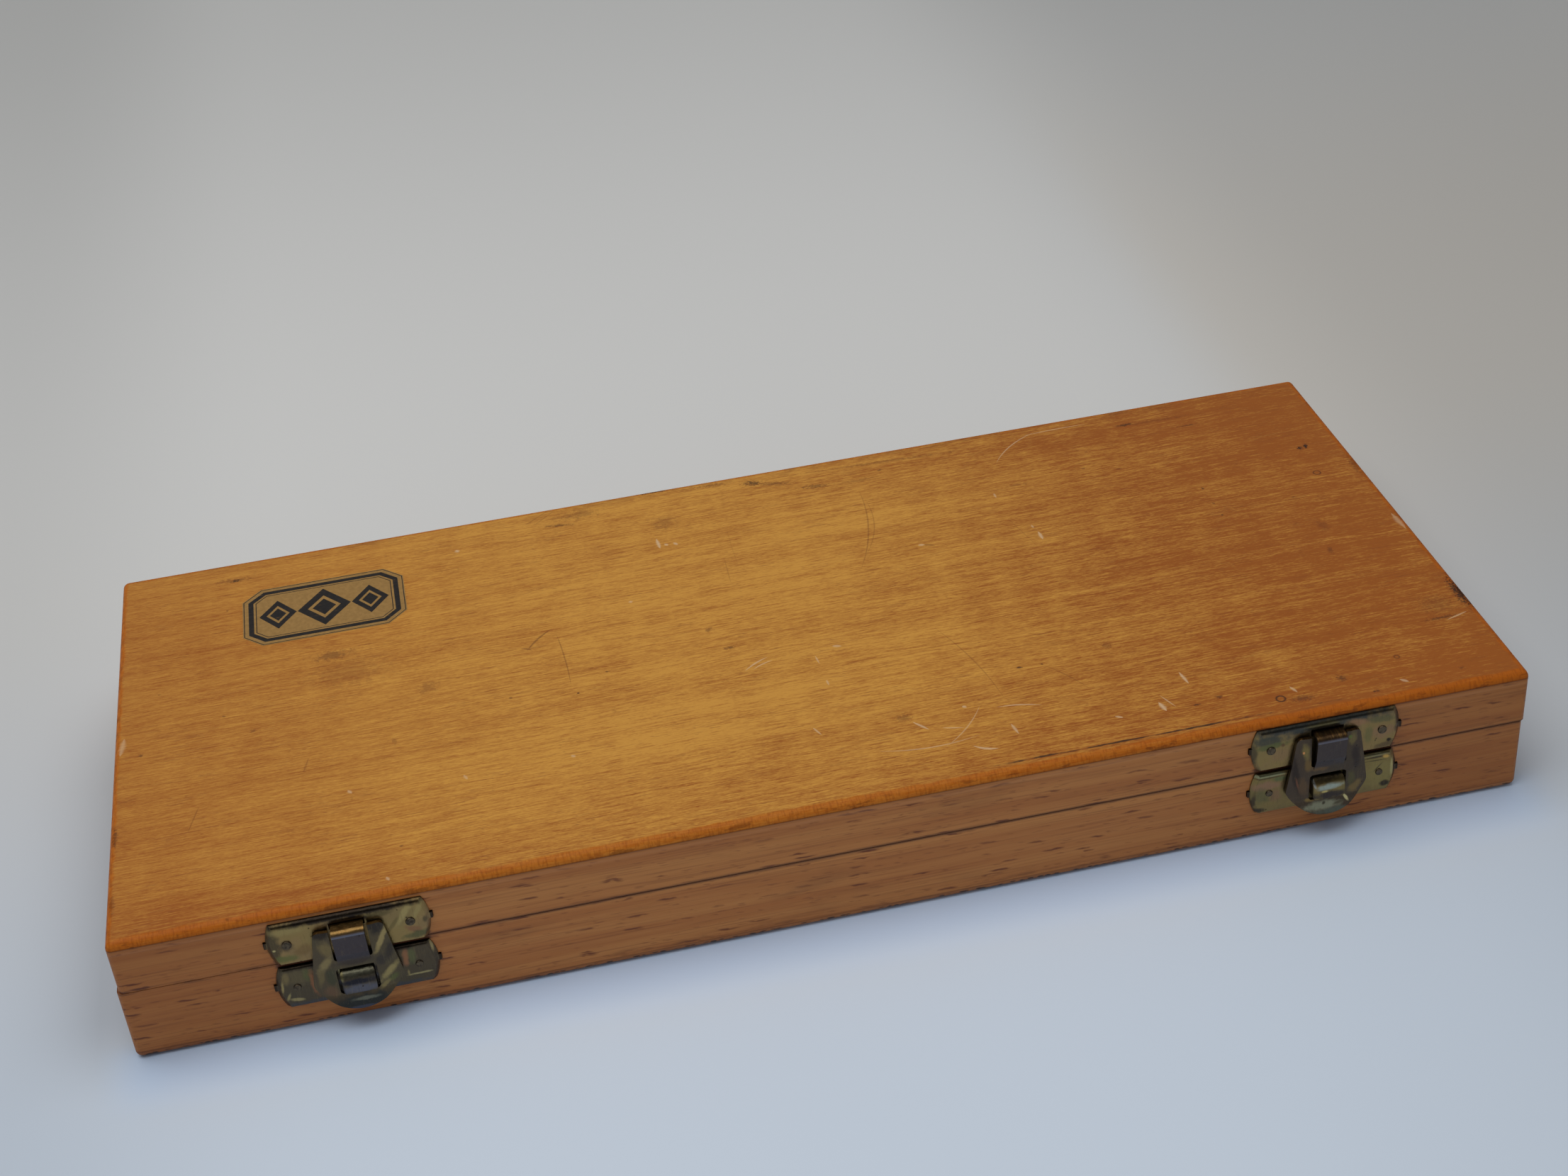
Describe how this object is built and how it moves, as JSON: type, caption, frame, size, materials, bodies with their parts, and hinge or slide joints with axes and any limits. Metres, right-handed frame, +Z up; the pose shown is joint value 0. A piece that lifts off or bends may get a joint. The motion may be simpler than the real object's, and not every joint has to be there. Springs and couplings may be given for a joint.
{
  "type": "hinged wooden instrument case",
  "caption": "Flat varnished wooden case for a micrometer, with a hinged lid, stamped hasp latches, butt hinges and fitted blocks inside.",
  "frame": {"origin": "On the face that the case rests on, under the centre of the closed case's outer box, latches and hinges counted.", "axes": "+X runs along the case to the viewer's right, +Y from the latches at the front to the hinges at the back, +Z up through the lid."},
  "size_m": [0.3004, 0.1424, 0.0311],
  "materials": {
    "varnished_plywood": "thin plywood under worn amber varnish, fine straight grain along X",
    "varnished_beech": "steamed beech under varnish, short dark flecks along X",
    "plain_beech": "sanded beech, unvarnished",
    "latch_steel": "stamped sheet steel, yellow passivated and tarnished, bare where it rubs",
    "hinge_steel": "rolled sheet steel, yellow passivated, dulled",
    "nail_steel": "small round-headed nails, dull grey",
    "felt": "pressed wool felt, dark green"
  },
  "bodies": {
    "base": {"base_bottom_panel": "varnished_plywood", "base_front_board": "varnished_beech", "base_back_board": "varnished_beech", "base_left_board": "varnished_beech", "base_right_board": "varnished_beech", "latch_base_plate_left": "latch_steel", "latch_base_plate_right": "latch_steel", "base_plate_nails": "nail_steel", "hinge_base_leaf_left": "hinge_steel", "hinge_pin_left": "hinge_steel", "hinge_base_leaf_right": "hinge_steel", "hinge_pin_right": "hinge_steel", "hinge_base_nails": "nail_steel", "thimble_cradle": "plain_beech", "anvil_cradle": "plain_beech", "bow_rest": "plain_beech", "rod_rest_left": "plain_beech", "rod_rest_right": "plain_beech"},
    "lid": {"lid_top_panel": "varnished_plywood", "lid_front_board": "varnished_beech", "lid_back_board": "varnished_beech", "lid_left_board": "varnished_beech", "lid_right_board": "varnished_beech", "latch_lid_plate_left": "latch_steel", "latch_lid_plate_right": "latch_steel", "lid_plate_nails": "nail_steel", "hinge_lid_leaf_left": "hinge_steel", "hinge_lid_leaf_right": "hinge_steel", "hinge_lid_nails": "nail_steel", "thimble_press_block": "plain_beech", "thimble_press_felt": "felt", "anvil_press_block": "plain_beech", "anvil_press_felt": "felt"},
    "hasp_left": {"latch_hasp_left": "latch_steel"},
    "hasp_right": {"latch_hasp_right": "latch_steel"}
  },
  "joints": [
    {"name": "lid_hinge", "type": "hinge", "parent": "base", "child": "lid", "pos_m": [0, 0.06955, 0.01808], "axis": [-1, 0, 0], "range_deg": [0, 180]},
    {"name": "hasp_left_hinge", "type": "hinge", "parent": "lid", "child": "hasp_left", "pos_m": [-0.1033, -0.0677, 0.02705], "axis": [-1, 0, 0], "range_deg": [0, 90]},
    {"name": "hasp_right_hinge", "type": "hinge", "parent": "lid", "child": "hasp_right", "pos_m": [0.1042, -0.0677, 0.02775], "axis": [-1, 0, 0], "range_deg": [0, 90]}
  ]
}
